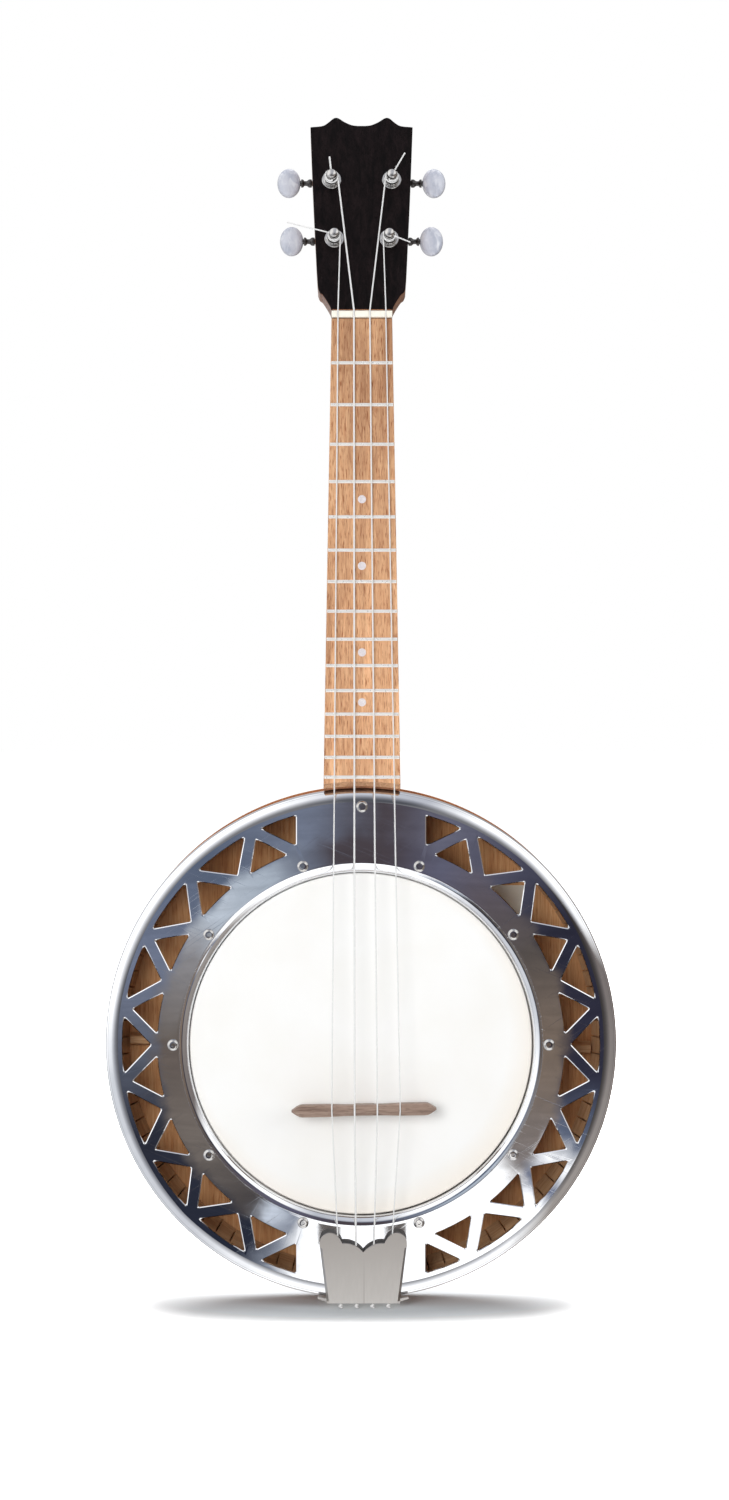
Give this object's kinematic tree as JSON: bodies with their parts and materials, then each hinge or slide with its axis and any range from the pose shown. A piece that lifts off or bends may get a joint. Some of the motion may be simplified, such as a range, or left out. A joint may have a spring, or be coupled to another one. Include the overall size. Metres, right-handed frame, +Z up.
{
  "type": "banjo ukulele",
  "caption": "Tenor banjo ukulele with a sunken skin head, a pierced metal cover plate, a round wooden body and worm geared tuners.",
  "frame": {"origin": "the point where a wall hanger holds the neck, in the middle of the wood under the headstock's shoulders", "axes": "+Z up the neck towards the headstock, -Y towards the player's audience, +X to the right as the audience sees it"},
  "size_m": [0.2794, 0.0743, 0.6532],
  "materials": {
    "polished_steel": "polished, with fine wipe scratches",
    "satin_steel": "satin nickel",
    "bright_screw": "bright",
    "black_metal": "gloss black",
    "brass": "plain",
    "drum_skin": "coated white film",
    "pale_wood": "raw",
    "back_wood": "satin",
    "neck_wood": "satin",
    "fretboard_wood": "oiled",
    "ebony": "satin, dark with a fine grain",
    "bridge_wood": "raw",
    "bone": "ivory",
    "pearl": "pearly",
    "string_nylon": "clear grey"
  },
  "bodies": {
    "root": {"back_plate": "back_wood", "side_rim": "back_wood", "back_lining": "pale_wood", "front_lining": "pale_wood", "neck_block": "pale_wood", "tail_block": "pale_wood", "back_brace": "pale_wood", "drum_rim": "pale_wood", "drum_head": "drum_skin", "cover_plate": "polished_steel", "cover_screw_top": "bright_screw", "tension_bolt_01": "bright_screw", "tension_bolt_02": "bright_screw", "tension_bolt_03": "bright_screw", "tension_bolt_04": "bright_screw", "tension_bolt_05": "bright_screw", "tension_bolt_06": "bright_screw", "tension_bolt_07": "bright_screw", "tension_bolt_08": "bright_screw", "tension_bolt_09": "bright_screw", "tension_bolt_10": "bright_screw", "end_pin": "bright_screw", "tailpiece": "satin_steel", "neck": "neck_wood", "fretboard": "fretboard_wood", "headstock_overlay": "ebony", "nut": "bone", "bridge": "bridge_wood", "string_g": "string_nylon", "string_c": "string_nylon", "string_e": "string_nylon", "string_a": "string_nylon", "lower_left_tuner_plate": "black_metal", "lower_left_bushing": "bright_screw", "upper_left_tuner_plate": "black_metal", "upper_left_bushing": "bright_screw", "upper_right_tuner_plate": "black_metal", "upper_right_bushing": "bright_screw", "lower_right_tuner_plate": "black_metal", "lower_right_bushing": "bright_screw"},
    "lower_left_button_body": {"lower_left_button": "pearl", "lower_left_worm_shaft": "black_metal"},
    "lower_left_post_body": {"lower_left_post": "bright_screw", "lower_left_gear": "brass", "lower_left_winding": "string_nylon"},
    "upper_left_button_body": {"upper_left_button": "pearl", "upper_left_worm_shaft": "black_metal"},
    "upper_left_post_body": {"upper_left_post": "bright_screw", "upper_left_gear": "brass", "upper_left_winding": "string_nylon"},
    "upper_right_button_body": {"upper_right_button": "pearl", "upper_right_worm_shaft": "black_metal"},
    "upper_right_post_body": {"upper_right_post": "bright_screw", "upper_right_gear": "brass", "upper_right_winding": "string_nylon"},
    "lower_right_button_body": {"lower_right_button": "pearl", "lower_right_worm_shaft": "black_metal"},
    "lower_right_post_body": {"lower_right_post": "bright_screw", "lower_right_gear": "brass", "lower_right_winding": "string_nylon"}
  },
  "joints": [
    {"name": "lower_left_button_turn", "type": "hinge", "parent": "root", "child": "lower_left_button_body", "pos_m": [-0.015, 0.02251, 0.03487], "axis": [1, 0, 0], "continuous": true},
    {"name": "lower_left_post_turn", "type": "hinge", "parent": "root", "child": "lower_left_post_body", "pos_m": [-0.015, 0.00344, 0.03381], "axis": [0, -0.9593, 0.2823], "continuous": true},
    {"name": "upper_left_button_turn", "type": "hinge", "parent": "root", "child": "upper_left_button_body", "pos_m": [-0.0165, 0.03225, 0.06796], "axis": [1, 0, 0], "continuous": true},
    {"name": "upper_left_post_turn", "type": "hinge", "parent": "root", "child": "upper_left_post_body", "pos_m": [-0.0165, 0.01318, 0.0669], "axis": [0, -0.9593, 0.2823], "continuous": true},
    {"name": "upper_right_button_turn", "type": "hinge", "parent": "root", "child": "upper_right_button_body", "pos_m": [0.0165, 0.03225, 0.06796], "axis": [1, 0, 0], "continuous": true},
    {"name": "upper_right_post_turn", "type": "hinge", "parent": "root", "child": "upper_right_post_body", "pos_m": [0.0165, 0.01318, 0.0669], "axis": [0, 0.9593, -0.2823], "continuous": true},
    {"name": "lower_right_button_turn", "type": "hinge", "parent": "root", "child": "lower_right_button_body", "pos_m": [0.015, 0.02251, 0.03487], "axis": [1, 0, 0], "continuous": true},
    {"name": "lower_right_post_turn", "type": "hinge", "parent": "root", "child": "lower_right_post_body", "pos_m": [0.015, 0.00344, 0.03381], "axis": [0, 0.9593, -0.2823], "continuous": true}
  ],
  "couplings": [
    {"joint": "lower_left_post_turn", "follows": "lower_left_button_turn", "ratio": 0.071429},
    {"joint": "upper_left_post_turn", "follows": "upper_left_button_turn", "ratio": 0.071429},
    {"joint": "upper_right_post_turn", "follows": "upper_right_button_turn", "ratio": 0.071429},
    {"joint": "lower_right_post_turn", "follows": "lower_right_button_turn", "ratio": 0.071429}
  ]
}
